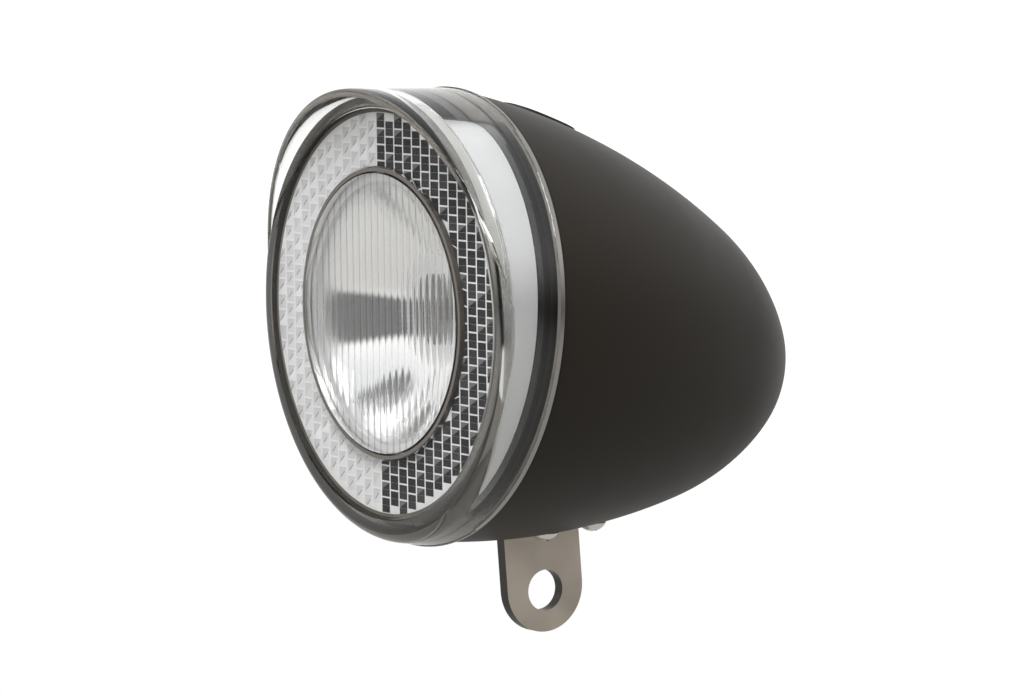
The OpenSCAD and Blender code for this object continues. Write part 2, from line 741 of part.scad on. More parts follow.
// One unbroken wire: 8 rings a turn, 6 sides, with flat ends
spring_rings = round(8 * spring_turns);
spring_run = spring_len - spring_wire_d - 2 * fit;
function spring_point(i) = [
    spring_r * cos(45 * i), spring_r * sin(45 * i), spring_run * i / spring_rings
];
spring_rise = atan2(spring_run, 2 * PI * spring_r * spring_turns);
function spring_ring(i) =
    let(out = [cos(45 * i), sin(45 * i), 0],
        up = [sin(spring_rise) * sin(45 * i), -sin(spring_rise) * cos(45 * i), cos(spring_rise)])
    [for (k = [0:5]) spring_point(i) + spring_wire_d / 2 * (cos(60 * k) * out + sin(60 * k) * up)];
spring_points = [for (i = [0:spring_rings], p = spring_ring(i)) p];
spring_sides_faces = [
    for (i = [0:spring_rings - 1], k = [0:5])
        let(a = 6 * i + k, b = 6 * i + (k + 1) % 6)
        each [[a, a + 6, b], [b, a + 6, b + 6]]
];
spring_ends = [
    for (k = [1:4]) each [[0, k, k + 1], [6 * spring_rings, 6 * spring_rings + k + 1, 6 * spring_rings + k]]
];
spring_gap = min([
    for (i = [0:spring_rings], j = [0:spring_rings])
        if (j - i >= 6) norm(spring_point(i) - spring_point(j)) - spring_wire_d
]);
echo(contact_spring_least_gap = spring_gap);

module contact_springs() color("#c4c6c8") for (i = [0:2])
    at_flange() translate([0, cells_at[i][0], cells_at[i][1]]) rotate([0, 90 * spring_sides[i], 0])
        translate([0, 0, cavity / 2 - contact_t - spring_len + spring_wire_d / 2 + fit])
            polyhedron(spring_points, concat(spring_sides_faces, spring_ends));

// Two leads from the light's board up to the switch board

wire_run = 3.2;
wire_start_y = led_board_r - 1.2;

module wire_rise(r) at_lens() for (x = [-1, 1])
    translate([x * wire_x, wire_start_y, collar_back - led_board_t - wire_run]) rotate([-90, 0, 0])
        cylinder(r = r, h = far / 4);

module lead_wires() color("#a03028") {
    intersection() {
        wire_rise(wire_d / 2);
        at_button() behind(shelf_top);
        at_lens() translate([0, wire_start_y + wire_bend, 0]) rotate([90, 0, 0]) behind(0);
    }
    at_lens() for (x = [-1, 1]) {
        back = collar_back - led_board_t;
        translate([x * wire_x, wire_start_y, back - wire_run + wire_bend])
            cylinder(d = wire_d, h = wire_run - wire_bend);
        translate([x * wire_x, wire_start_y + wire_bend, back - wire_run + wire_bend]) rotate([0, 90, 0])
            rotate_extrude(angle = -90) translate([wire_bend, 0]) circle(d = wire_d, $fn = 24);
    }
}

housing_shell();
mount_tongue();
tongue_screws();
tongue_nuts();
button_retainer();
power_button();
switch_plunger();
lens_ring();
reflex_ring();
front_lens();
lens_gasket();
reflector_bowl();
carrier();
mouth_seal();
bowl_screws();
led_emitter();
led_board();
heat_sink();
led_screws();
control_board();
tact_switch();
board_screws();
battery_cradle();
cradle_screws();
battery_upper();
battery_lower();
battery_rear();
contact_plates();
contact_springs();
lead_wires();
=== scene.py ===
from math import acos, asin, cos, pi, radians, sin, sqrt, tan

import bmesh
import bpy
from mathutils import Matrix, Vector


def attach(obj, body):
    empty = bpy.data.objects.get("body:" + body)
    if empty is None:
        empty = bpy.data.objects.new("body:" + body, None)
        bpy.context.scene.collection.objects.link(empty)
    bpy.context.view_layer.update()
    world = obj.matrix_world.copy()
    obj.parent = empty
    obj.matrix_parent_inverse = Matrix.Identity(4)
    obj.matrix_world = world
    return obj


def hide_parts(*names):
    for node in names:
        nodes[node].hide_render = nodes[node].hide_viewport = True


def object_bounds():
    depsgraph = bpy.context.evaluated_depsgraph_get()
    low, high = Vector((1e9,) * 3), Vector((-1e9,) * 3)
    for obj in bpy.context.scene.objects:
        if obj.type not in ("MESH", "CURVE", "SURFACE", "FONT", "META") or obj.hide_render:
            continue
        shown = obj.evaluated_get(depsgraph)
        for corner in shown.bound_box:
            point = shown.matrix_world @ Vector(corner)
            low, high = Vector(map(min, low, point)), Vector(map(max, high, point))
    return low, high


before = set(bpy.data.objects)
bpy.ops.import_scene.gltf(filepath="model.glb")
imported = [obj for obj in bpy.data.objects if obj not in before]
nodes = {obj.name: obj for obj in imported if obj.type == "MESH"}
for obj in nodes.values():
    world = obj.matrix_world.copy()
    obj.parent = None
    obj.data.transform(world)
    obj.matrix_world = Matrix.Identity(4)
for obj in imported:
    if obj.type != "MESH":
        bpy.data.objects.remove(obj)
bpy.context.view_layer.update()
print("frame loaded,", len(nodes), "pieces")

# sizes are in mm and degrees, as on the part
mm = 0.001
lamp = dict(flange=(0, -19.3, 43.7), unitTilt=5.74, bodyDroop=11.8, reach=10)


def axes(angle):
    a = radians(angle)
    return Vector((0, -cos(a), sin(a))), Vector((0, sin(a), cos(a)))


flangeCentre = Vector(lamp["flange"])
unitOut, unitUp = axes(lamp["unitTilt"])
bodyOut, bodyUp = axes(lamp["bodyDroop"])
lensOut, lensUp = axes(0)
lensCentre = flangeCentre + unitOut * lamp["reach"]


def onUnit(r, turn, z):
    return flangeCentre + Vector((r * cos(turn), 0, 0)) + unitUp * (r * sin(turn)) + unitOut * z


def onLens(r, turn, z):
    return lensCentre + Vector((r * cos(turn), 0, 0)) + lensUp * (r * sin(turn)) + lensOut * z


def onBody(r, turn, s):
    return flangeCentre + Vector((r * cos(turn), 0, 0)) + bodyUp * (r * sin(turn)) - bodyOut * s


def lensMatrix():
    m = Matrix((Vector((1, 0, 0)), lensUp, lensOut)).transposed().to_4x4()
    m.translation = lensCentre * mm
    return m


# meshes

def tidyMesh(mesh, angle=32):
    bm = bmesh.new()
    bm.from_mesh(mesh)
    bmesh.ops.remove_doubles(bm, verts=bm.verts, dist=2e-7)
    bmesh.ops.dissolve_degenerate(bm, edges=bm.edges, dist=2e-7)
    bmesh.ops.recalc_face_normals(bm, faces=bm.faces)
    if bm.calc_volume(signed=True) < 0:
        bmesh.ops.reverse_faces(bm, faces=bm.faces)
    bm.to_mesh(mesh)
    bm.free()
    mesh.polygons.foreach_set("use_smooth", [True] * len(mesh.polygons))
    mesh.set_sharp_from_angle(angle=radians(angle))


def addMesh(name, points, faces, marks=None):
    mesh = bpy.data.meshes.new(name)
    mesh.from_pydata([tuple(p * mm) for p in points], [], faces)
    if marks:
        mesh.polygons.foreach_set("material_index", marks)
    tidyMesh(mesh)
    obj = bpy.data.objects.new(name, mesh)
    bpy.context.scene.collection.objects.link(obj)
    return obj


def sweep(name, columns, marks=None):
    # a closed section carried all the way round
    count, rows = len(columns), len(columns[0])
    points = [p for c in columns for p in c]
    faces = []
    for i in range(count):
        a, b = i * rows, (i + 1) % count * rows
        for k in range(rows):
            n = (k + 1) % rows
            faces.append((a + k, a + n, b + n, b + k))
    return addMesh(name, points, faces, marks)


def turned(name, profile, point, count=192):
    # closed profile of (radius, height) turned about the axis
    return sweep(name, [[point(r, 2 * pi * i / count, z) for r, z in profile] for i in range(count)])


def prism(name, outline, toPoint, low, high):
    n = len(outline)
    points = [toPoint(x, y, low) for x, y in outline] + [toPoint(x, y, high) for x, y in outline]
    faces = [tuple(range(n))[::-1], tuple(range(n, 2 * n))]
    faces += [(i, (i + 1) % n, (i + 1) % n + n, i + n) for i in range(n)]
    return addMesh(name, points, faces)


def stadium(length, width, steps=24):
    r, half = width / 2, (length - width) / 2
    out = []
    for end in (1, -1):
        for i in range(steps + 1):
            a = pi * i / steps + (0 if end > 0 else pi)
            out.append((r * cos(a), end * half + r * sin(a)))
    return out


def bake(obj, cutters=()):
    # modifiers become plain mesh
    for c in cutters:
        m = obj.modifiers.new("cut", "BOOLEAN")
        m.operation, m.solver, m.object = "DIFFERENCE", "EXACT", c
    graph = bpy.context.evaluated_depsgraph_get()
    mesh = bpy.data.meshes.new_from_object(obj.evaluated_get(graph))
    obj.modifiers.clear()
    obj.data = mesh
    for c in cutters:
        bpy.data.objects.remove(c)
    return obj


# body: three tangent arcs, turned

body = dict(radius=34.3, length=63.4, nose=18.5, turns=(3.2, 25.3, 46.9), wall=2, mouth=31.5, mouthDepth=5.8,
            mouthGap=0.2, edge=0.25, columns=224, rows=90)
button = dict(station=13, length=13, width=8, gap=0.3)
tongue = dict(width=14, thick=2, lean=4, gap=0.15, screwStations=(24.2, 32.8), screwX=3.6, headRadius=2.35, sink=0.45)


class Outline:
    def __init__(self, inset):
        first, second, third = (radians(t) for t in body["turns"])
        nose, length = body["nose"], body["length"]
        inward = body["radius"] - nose * cos(third)
        along = length - nose * (1 - sin(third))
        a, b = cos(first) - cos(second), cos(second) - cos(third)
        c, d = sin(second) - sin(first), sin(third) - sin(second)
        det = a * d - b * c
        flank, shoulder = (inward * d - b * along) / det, (a * along - c * inward) / det
        noseAt = (length - nose, 0)
        shoulderAt = (noseAt[0] + (nose - shoulder) * sin(third), (nose - shoulder) * cos(third))
        step = shoulder - flank
        flankAt = (shoulderAt[0] + step * sin(second), shoulderAt[1] + step * cos(second))
        sizes = (flank - inset, second), (shoulder - inset, third), (nose - inset, pi / 2)
        self.arcs = [(at, *size) for at, size in zip((flankAt, shoulderAt, noseAt), sizes)]

    def at(self, turn):
        # station and radius where the outline has turned this far
        for (s, r), size, end in self.arcs:
            if turn <= end + 1e-9:
                return s + size * sin(turn), max(0, r + size * cos(turn))

    def turnAt(self, station):
        for (s, r), size, end in self.arcs:
            if station <= s + size * sin(end) + 1e-9:
                return asin(min(1, (station - s) / size))


def cutTurn(outline, turn, z):
    # turn of the outline where it meets a plane square to the front unit
    low, high = -0.05, 0.6
    for _ in range(40):
        mid = (low + high) / 2
        s, r = outline.at(mid)
        p = onBody(r, turn, s) - flangeCentre
        low, high = (mid, high) if p.dot(unitOut) > z else (low, mid)
    return (low + high) / 2


outer, inner = Outline(0), Outline(body["wall"])


def meridian(outline, turn, first):
    rows = body["rows"]
    points = []
    for k in range(rows + 1):
        t = k / rows
        s, r = outline.at(first + (pi / 2 - first) * (0.35 * t + 0.65 * t * t))
        points.append(onBody(r, turn, s))
    return points


def buttonPoint(x, y, n):
    s = button["station"]
    turn = outer.turnAt(s)
    normal = bodyUp * cos(turn) - bodyOut * sin(turn)
    rear = -bodyOut * cos(turn) - bodyUp * sin(turn)
    return onBody(outer.at(turn)[1], pi / 2, s) + Vector((x, 0, 0)) + rear * y + normal * n


def tonguePoint(x, y, z):
    a = radians(tongue["lean"])
    return Vector((z, x * cos(a) - y * sin(a), x * sin(a) + y * cos(a)))


def makeBody():
    columns = []
    mouth, gap, edge = body["mouth"], body["mouthGap"], body["edge"]
    for i in range(body["columns"]):
        turn = 2 * pi * i / body["columns"]
        outside = meridian(outer, turn, cutTurn(outer, turn, -gap))
        inside = meridian(inner, turn, cutTurn(inner, turn, -body["mouthDepth"]))
        inward = (onUnit(mouth, turn, -gap) - outside[0]).normalized()
        along = (outside[1] - outside[0]).normalized()
        corner = [outside[0] + inward * edge, outside[0] + (inward + along) * edge * 0.3, outside[0] + along * edge]
        front = [onUnit(mouth, turn, -body["mouthDepth"]), onUnit(mouth, turn, -gap)]
        columns.append(corner + outside[1:] + inside[::-1] + front)
    shell = sweep("bodyShell", columns)
    size = button["length"] + 2 * button["gap"], button["width"] + 2 * button["gap"]
    cutters = [prism("buttonHole", stadium(*size), buttonPoint, -6, 6)]
    w, t = tongue["width"] / 2 + tongue["gap"], tongue["thick"] / 2 + tongue["gap"]
    cutters.append(prism("tongueSlot", [(-w, 4), (w, 4), (w, 30), (-w, 30)], tonguePoint, -t, t))
    circle = stadium(2 * tongue["headRadius"], 2 * tongue["headRadius"])
    for s in tongue["screwStations"]:
        seat = onBody(outer.at(outer.turnAt(s))[1], -pi / 2, s) + Vector((tongue["screwX"], 0, tongue["sink"]))
        cutters.append(prism("screwSeat", circle, lambda x, y, z: seat + Vector((x, y, z)), -8, 0))
    bake(shell, cutters)
    tidyMesh(shell.data)
    return shell


# clear ring with its visor

ring = dict(lip=35, lipThick=1, lipThin=0.55, lipEnds=(-62, 56), rear=34.8, tip=33.35, visorReach=19.7, bore=32,
            seat=31.15, depth=2.4, rimRound=1.4, rimGrowth=0.9, visorThick=1.3, visorStart=11,
            visorSlope=10.8, bevel=0.28, chamfer=0.25, columns=288)


def wallRadius(z):
    # the wall tapers straight from the lip to the tip of the visor
    slope = (ring["rear"] - ring["tip"]) / (ring["visorReach"] - ring["lipThick"])
    return ring["rear"] - slope * (z - ring["lipThick"])


def unitZ(r, turn, z):
    # distance along the unit's axis of a point that is z in front of the lens plane
    a = radians(lamp["unitTilt"])
    return lamp["reach"] + (z + r * sin(turn) * sin(a)) / cos(a)


def ringColumn(turn, lipTop):
    rim = ring["rimRound"] + ring["rimGrowth"] * (1 - sin(turn)) / 2
    thick, lip = ring["visorThick"], ring["lip"]
    rimRadius = wallRadius(lamp["reach"])
    column, marks = [], []

    def put(r, z, mark=0):
        column.append(onUnit(r, turn, z))
        marks.append(mark)

    def putFront(r, z, mark=0):
        put(r, unitZ(r, turn, z), mark)

    edge = wallRadius(unitZ(rimRadius, turn, -rim))
    top = max(-rim, (rimRadius * sin(turn) - ring["visorStart"]) * tan(radians(ring["visorSlope"])))
    outside = wallRadius(unitZ(rimRadius, turn, top))
    arc = edge - rim + sqrt(max(0, rim ** 2 - (min(top, 0) + rim) ** 2))
    inside = max(arc, edge - thick)
    upper = min(inside, outside) if top < 0 else outside - thick
    e = min(ring["bevel"], 0.45 * (outside - upper), 0.6 * (top + rim))
    put(ring["bore"], 0, 1)
    put(lip - 0.15, 0, 2)
    put(lip, 0.15, 2)
    put(lip, lipTop - 0.12)
    put(lip - 0.08, lipTop)
    put(wallRadius(lipTop), lipTop)
    low, high = lipTop, unitZ(outside, turn, top - e)
    for k in range(1, 11):
        z = low + (high - low) * k / 10
        put(wallRadius(z), z)
    putFront(outside - 0.3 * e, top - 0.3 * e, 4)
    putFront(outside - e, top, 4)
    putFront(upper + e, top, 4)
    putFront(upper + 0.3 * e, top - 0.3 * e)
    putFront(upper, top - e)
    first = acos(min(1, (inside - edge + rim) / rim))
    for k in range(11):
        a = first + (pi / 2 - first) * k / 10
        putFront(edge - rim + rim * cos(a), -rim + rim * sin(a), 3 if a > radians(57) else 0)
    column.append(onLens(ring["seat"] + ring["chamfer"], turn, 0))
    column.append(onLens(ring["seat"], turn, -ring["chamfer"]))
    column.append(onLens(ring["seat"], turn, -ring["depth"]))
    marks += [3, 0, 0]
    putFront(ring["bore"], -ring["depth"])
    return column, marks


def makeRing():
    first, last = (radians(t) for t in ring["lipEnds"])
    turns = [2 * pi * i / ring["columns"] - pi / 2 for i in range(ring["columns"])]
    ends = [first, last, pi - last, pi - first]
    turns += [t + side * 1e-5 for t in ends for side in (-1, 1)]
    columns, marks = [], []
    for turn in sorted(turns):
        thick = first < turn < last or pi - last < turn < pi - first
        column, mark = ringColumn(turn, ring["lipThick"] if thick else ring["lipThin"])
        columns.append(column)
        marks += mark
    return sweep("clearRing", columns, marks)


# fluted lens

lens = dict(radius=21.2, thick=2.4, flutes=24, depth=0.07)
gasket = dict(inner=21.5, outer=22.1, front=-0.15, back=-2.4)


def makeLens():
    # strips across the lens follow the flutes, so that every ridge is an edge
    radius, thick, per, rows = lens["radius"], lens["thick"], 8, 40
    cols = lens["flutes"] * per
    points, faces = [], []
    for z in (0, -thick):
        for i in range(cols + 1):
            x = radius * (2 * i / cols - 1)
            half = sqrt(max(radius * radius - x * x, 0.02))
            points += [Vector((x, half * (2 * k / rows - 1), z)) for k in range(rows + 1)]
    n = rows + 1
    back = (cols + 1) * n
    for i in range(cols):
        for k in range(rows):
            a = i * n + k
            faces.append((a, a + n, a + n + 1, a + 1))
            faces.append((back + a, back + a + 1, back + a + n + 1, back + a + n))
        for k in (0, rows):
            a = i * n + k
            faces.append((a, a + n, back + a + n, back + a))
    for i in (0, cols):
        for k in range(rows):
            a = i * n + k
            faces.append((a, a + 1, back + a + 1, back + a))
    return addMesh("flutedLens", points, faces)


# nodes

def add(tree, kind, inputs=None, **settings):
    n = tree.nodes.new(kind)
    for label, value in settings.items():
        setattr(n, label, value)
    for socket, value in (inputs or {}).items():
        if isinstance(value, bpy.types.NodeSocket):
            tree.links.new(value, n.inputs[socket])
        else:
            n.inputs[socket].default_value = value
    return n


def calc(tree, operation, *values):
    return add(tree, "ShaderNodeMath", dict(enumerate(values)), operation=operation).outputs[0]


def newGroup(name, kind, inputs, outputs):
    group = bpy.data.node_groups.new(name, kind)
    ids = {}
    for label, socket in inputs.items():
        made = group.interface.new_socket(label, in_out="INPUT", socket_type="NodeSocket" + socket)
        ids[label] = made.identifier
    for label, socket in outputs.items():
        group.interface.new_socket(label, in_out="OUTPUT", socket_type="NodeSocket" + socket)
    start, end = group.nodes.new("NodeGroupInput"), group.nodes.new("NodeGroupOutput")
    return group, ids, start.outputs, end.inputs


def finishGeometry(group, geometry, material, end):
    real = add(group, "GeometryNodeRealizeInstances", {0: geometry})
    painted = add(group, "GeometryNodeSetMaterial", {"Geometry": real.outputs[0], "Material": material})
    group.links.new(painted.outputs[0], end[0])


def runGroup(obj, made, values):
    group, ids = made
    m = obj.modifiers.new(group.name, "NODES")
    m.node_group = group
    for label, value in values.items():
        m[ids[label]] = value
    return bake(obj)


def fluteGroup():
    # hollows down the back of the lens
    group, ids, start, end = newGroup("fluteRelief", "GeometryNodeTree", {
        "Geometry": "Geometry", "Pitch": "Float", "Depth": "Float", "Half Width": "Float", "Back": "Float",
        "Material": "Material"}, {"Geometry": "Geometry"})
    place = add(group, "GeometryNodeInputPosition")
    split = add(group, "ShaderNodeSeparateXYZ", {0: place.outputs[0]})
    across = calc(group, "DIVIDE", calc(group, "ADD", split.outputs["X"], start["Half Width"]), start["Pitch"])
    share = calc(group, "FRACT", calc(group, "ADD", across, 1e-4))
    middle = calc(group, "MULTIPLY", calc(group, "SUBTRACT", share, 0.5), 2)
    hollow = calc(group, "SUBTRACT", 1, calc(group, "MULTIPLY", middle, middle))
    onBack = calc(group, "LESS_THAN", split.outputs["Z"], start["Back"])
    rise = calc(group, "MULTIPLY", calc(group, "MULTIPLY", hollow, start["Depth"]), onBack)
    offset = add(group, "ShaderNodeCombineXYZ", {"Z": rise})
    move = add(group, "GeometryNodeSetPosition", {"Geometry": start["Geometry"], "Offset": offset.outputs[0]})
    finishGeometry(group, move.outputs[0], start["Material"], end)
    return group, ids


def storeValue(group, geometry, name, value, domain):
    note = add(group, "GeometryNodeStoreNamedAttribute", data_type="FLOAT", domain=domain)
    note.inputs["Name"].default_value = name
    group.links.new(geometry, note.inputs["Geometry"])
    if isinstance(value, bpy.types.NodeSocket):
        group.links.new(value, note.inputs["Value"])
    else:
        note.inputs["Value"].default_value = value
    return note.outputs[0]


def flatLength(group):
    place = add(group, "GeometryNodeInputPosition")
    flat = add(group, "ShaderNodeVectorMath", {0: place.outputs[0], 1: (1, 1, 0)}, operation="MULTIPLY")
    return place, add(group, "ShaderNodeVectorMath", {0: flat.outputs[0]}, operation="LENGTH").outputs["Value"]


reflex = dict(outer=31, inner=22.3, depth=1.2, back=2.4, pitch=2.43, gapAcross=0.36, gapAlong=0.26, split=0.02,
              border=30.4, rows=27, tick=(0.24, 1.3, -46), seed=4)


def corner(group, wide, tall):
    # triangle over half a rectangle
    three = add(group, "GeometryNodeMeshCircle", {"Vertices": 3, "Radius": 1}, fill_type="NGON")
    split = add(group, "ShaderNodeSeparateXYZ", {0: add(group, "GeometryNodeInputPosition").outputs[0]})
    x, y = split.outputs["X"], split.outputs["Y"]
    lean = calc(group, "ADD", calc(group, "DIVIDE", x, 3), calc(group, "DIVIDE", y, sqrt(3)))
    place = add(group, "ShaderNodeCombineXYZ", {
        "X": calc(group, "MULTIPLY", calc(group, "MULTIPLY", x, 2 / 3), wide), "Y": calc(group, "MULTIPLY", lean, tall)})
    return add(group, "GeometryNodeSetPosition", {"Geometry": three.outputs[0], "Position": place.outputs[0]}).outputs[0]


def brickGroup():
    # staggered bricks, each in two halves, cut to the ring; some carry a corner of painted light, a highlight on the
    # dark half and shade on the pale half
    group, ids, start, end = newGroup("brickField", "GeometryNodeTree", {
        "Geometry": "Geometry", "Pitch": "Float", "Gap Across": "Float", "Gap Along": "Float", "Split": "Float",
        "Inner": "Float", "Outer": "Float", "Thick": "Float", "Depth": "Float", "Rows": "Int", "Seed": "Int",
        "Tick Width": "Float", "Tick Length": "Float", "Tick Turn": "Float",
        "Material": "Material"}, {"Geometry": "Geometry"})
    pitch = start["Pitch"]
    span = calc(group, "MULTIPLY", calc(group, "SUBTRACT", start["Rows"], 1), pitch)
    grid = add(group, "GeometryNodeMeshGrid", {
        "Size X": span, "Size Y": span, "Vertices X": start["Rows"], "Vertices Y": start["Rows"]})
    place = add(group, "GeometryNodeInputPosition")
    split = add(group, "ShaderNodeSeparateXYZ", {0: place.outputs[0]})
    column = calc(group, "ROUND", calc(group, "DIVIDE", split.outputs["X"], pitch))
    stagger = calc(group, "MULTIPLY", calc(group, "PINGPONG", column, 1), calc(group, "MULTIPLY", pitch, 0.5))
    offset = add(group, "ShaderNodeCombineXYZ", {"Y": stagger, "Z": calc(group, "MULTIPLY", start["Depth"], -1)})
    move = add(group, "GeometryNodeSetPosition", {"Geometry": grid.outputs["Mesh"], "Offset": offset.outputs[0]})
    away = flatLength(group)[1]
    near = calc(group, "LESS_THAN", away, calc(group, "SUBTRACT", start["Inner"], calc(group, "MULTIPLY", pitch, 0.25)))
    over = calc(group, "GREATER_THAN", away, calc(group, "SUBTRACT", start["Outer"], calc(group, "MULTIPLY", pitch, 0.1)))
    outside = calc(group, "MAXIMUM", near, over)
    kept = add(group, "GeometryNodeDeleteGeometry", {"Geometry": move.outputs[0], "Selection": outside}).outputs[0]

    wide = calc(group, "SUBTRACT", pitch, start["Gap Across"])
    tall = calc(group, "SUBTRACT", calc(group, "SUBTRACT", pitch, start["Gap Along"]), start["Split"])
    tall = calc(group, "MULTIPLY", tall, 0.5)
    size = add(group, "ShaderNodeCombineXYZ", {"X": wide, "Y": tall, "Z": start["Thick"]})
    cube = add(group, "GeometryNodeMeshCube", {"Size": size.outputs[0]})
    pair = add(group, "GeometryNodeJoinGeometry")
    step = calc(group, "MULTIPLY", calc(group, "ADD", tall, start["Split"]), 0.5)
    for half, side in enumerate((1, -1)):
        up = add(group, "ShaderNodeCombineXYZ", {"Y": calc(group, "MULTIPLY", step, side)})
        moved = add(group, "GeometryNodeTransform", {"Geometry": cube.outputs["Mesh"], "Translation": up.outputs[0]})
        group.links.new(storeValue(group, moved.outputs[0], "brickHalf", half, "POINT"), pair.inputs[0])
    bricks = add(group, "GeometryNodeInstanceOnPoints", {"Points": kept, "Instance": pair.outputs[0]}).outputs[0]
    tone = add(group, "FunctionNodeRandomValue", {"Seed": start["Seed"]}).outputs[1]
    bricks = storeValue(group, bricks, "brickTone", tone, "INSTANCE")

    # painted highlights as lighter corners on the dark half; painted shade as darker corners and thin ticks on the pale
    # half
    tick = add(group, "GeometryNodeMeshGrid", {
        "Size X": start["Tick Width"], "Size Y": start["Tick Length"], "Vertices X": 2, "Vertices Y": 2})
    chance = add(group, "FunctionNodeRandomValue", {"Seed": calc(group, "ADD", start["Seed"], 1)}).outputs[1]
    column = add(group, "ShaderNodeSeparateXYZ", {0: add(group, "GeometryNodeInputPosition").outputs[0]}).outputs["X"]
    darkHalf = calc(group, "GREATER_THAN", column, calc(group, "MULTIPLY", pitch, -0.5))
    paleHalf = calc(group, "SUBTRACT", 1, darkHalf)
    small = corner(group, wide, tall)
    large = corner(group, wide, calc(group, "MULTIPLY", tall, 2))
    left = calc(group, "MULTIPLY", wide, -1 / 6)
    whole = add(group, "GeometryNodeJoinGeometry")
    group.links.new(bricks, whole.inputs[0])
    for shape, turn, x, y, height, share, half, strength in (
            (small, 0, left, calc(group, "ADD", step, calc(group, "DIVIDE", tall, 6)), 0.55, 0.45, darkHalf, 1),
            (large, 0, left, calc(group, "DIVIDE", tall, 3), 0.55, 1, paleHalf, 0.04),
            (tick.outputs["Mesh"], start["Tick Turn"], 0, 0, 0.6, 0.8, paleHalf, 0.6)):
        spin = add(group, "ShaderNodeCombineXYZ", {"Z": turn})
        move = add(group, "ShaderNodeCombineXYZ", {
            "X": x, "Y": y, "Z": calc(group, "MULTIPLY", start["Thick"], height)})
        facet = add(group, "GeometryNodeTransform", {
            "Geometry": shape, "Translation": move.outputs[0], "Rotation": spin.outputs[0]}).outputs[0]
        chosen = calc(group, "MULTIPLY", calc(group, "LESS_THAN", chance, share), half)
        facets = add(group, "GeometryNodeInstanceOnPoints", {
            "Points": kept, "Instance": storeValue(group, facet, "facetPaintedLight", strength, "POINT"), "Selection": chosen})
        group.links.new(facets.outputs[0], whole.inputs[0])
    real = add(group, "GeometryNodeRealizeInstances", {0: whole.outputs[0]})
    where, far = flatLength(group)
    held = calc(group, "MINIMUM", calc(group, "MAXIMUM", far, start["Inner"]), start["Outer"])
    share = calc(group, "DIVIDE", held, far)
    scale = add(group, "ShaderNodeCombineXYZ", {"X": share, "Y": share, "Z": 1})
    cut = add(group, "ShaderNodeVectorMath", {0: where.outputs[0], 1: scale.outputs[0]}, operation="MULTIPLY")
    final = add(group, "GeometryNodeSetPosition", {"Geometry": real.outputs[0], "Position": cut.outputs[0]})
    finishGeometry(group, final.outputs[0], start["Material"], end)
    return group, ids


# materials

sockets = dict(colour="Base Color", gloss="Roughness", metallic="Metallic", specular="Specular IOR Level",
               tint="Specular Tint", index="IOR", clear="Transmission Weight")


def newMaterial(name, **values):
    mat = bpy.data.materials.new(name)
    mat.use_nodes = True
    shader = mat.node_tree.nodes["Principled BSDF"]
    for socket, value in values.items():
        shader.inputs[sockets[socket]].default_value = value
    return mat, shader


def grainGroup():
    # fine noise for bump, broad noise for uneven colour and gloss
    group, ids, start, end = newGroup("surfaceGrain", "ShaderNodeTree", {
        "Color": "Color", "Scale": "Float", "Depth": "Float", "Gloss": "Float", "Spread": "Float", "Mottle": "Float"},
        {"Color": "Color", "Roughness": "Float", "Normal": "Vector"})
    where = add(group, "ShaderNodeTexCoord").outputs["Object"]
    fine = add(group, "ShaderNodeTexNoise", {"Vector": where, "Scale": start["Scale"], "Detail": 3})
    bump = add(group, "ShaderNodeBump", {"Strength": start["Depth"], "Distance": 0.0001, "Height": fine.outputs[0]})
    group.links.new(bump.outputs[0], end["Normal"])
    broad = add(group, "ShaderNodeTexNoise", {"Vector": where, "Scale": 90})
    uneven = calc(group, "SUBTRACT", broad.outputs[0], 0.5)
    gloss = calc(group, "ADD", start["Gloss"], calc(group, "MULTIPLY", uneven, start["Spread"]))
    group.links.new(gloss, end["Roughness"])
    level = calc(group, "ADD", 1, calc(group, "MULTIPLY", uneven, start["Mottle"]))
    tint = add(group, "ShaderNodeVectorMath", {0: start["Color"], "Scale": level}, operation="SCALE")
    group.links.new(tint.outputs[0], end["Color"])
    return group


grain = grainGroup()


def bowlGloss(tree):
    # a mirror in the middle, satin towards the rim
    where = add(tree, "ShaderNodeTexCoord").outputs["Object"]
    flat = add(tree, "ShaderNodeVectorMath", {0: where, 1: lensCentre * mm}, operation="SUBTRACT").outputs[0]
    across = add(tree, "ShaderNodeVectorMath", {0: flat, 1: (1, 0, 1)}, operation="MULTIPLY").outputs[0]
    away = add(tree, "ShaderNodeVectorMath", {0: across}, operation="LENGTH").outputs["Value"]
    return add(tree, "ShaderNodeMapRange", {
        "Value": away, "From Min": 17.5 * mm, "From Max": 21 * mm, "To Min": 0.07, "To Max": 0.5},
        interpolation_type="SMOOTHSTEP").outputs["Result"]


def surface(name, colour, gloss, scale=2600, depth=0.1, spread=0.1, mottle=0.2, **values):
    mat, shader = newMaterial(name, **values)
    tree = mat.node_tree
    n = add(tree, "ShaderNodeGroup", node_tree=grain)
    inputs = {"Scale": scale, "Depth": depth, "Gloss": gloss, "Spread": spread, "Mottle": mottle, "Color": colour}
    for label, value in inputs.items():
        if callable(value):
            tree.links.new(value(tree), n.inputs[label])
        else:
            n.inputs[label].default_value = (*value, 1) if label == "Color" else value
    for source, target in (("Color", "Base Color"), ("Roughness", "Roughness"), ("Normal", "Normal")):
        tree.links.new(n.outputs[source], shader.inputs[target])
    return mat


def clearPlastic(name, colour, gloss, index=1.49):
    return newMaterial(name, colour=(*colour, 1), gloss=gloss, index=index, clear=1)[0]


def grey(tree, value):
    shade = add(tree, "ShaderNodeCombineColor", {c: value for c in ("Red", "Green", "Blue")})
    return shade.outputs[0]


def objectAxis(tree, axis):
    where = add(tree, "ShaderNodeTexCoord")
    return add(tree, "ShaderNodeSeparateXYZ", {0: where.outputs["Object"]}).outputs[axis]


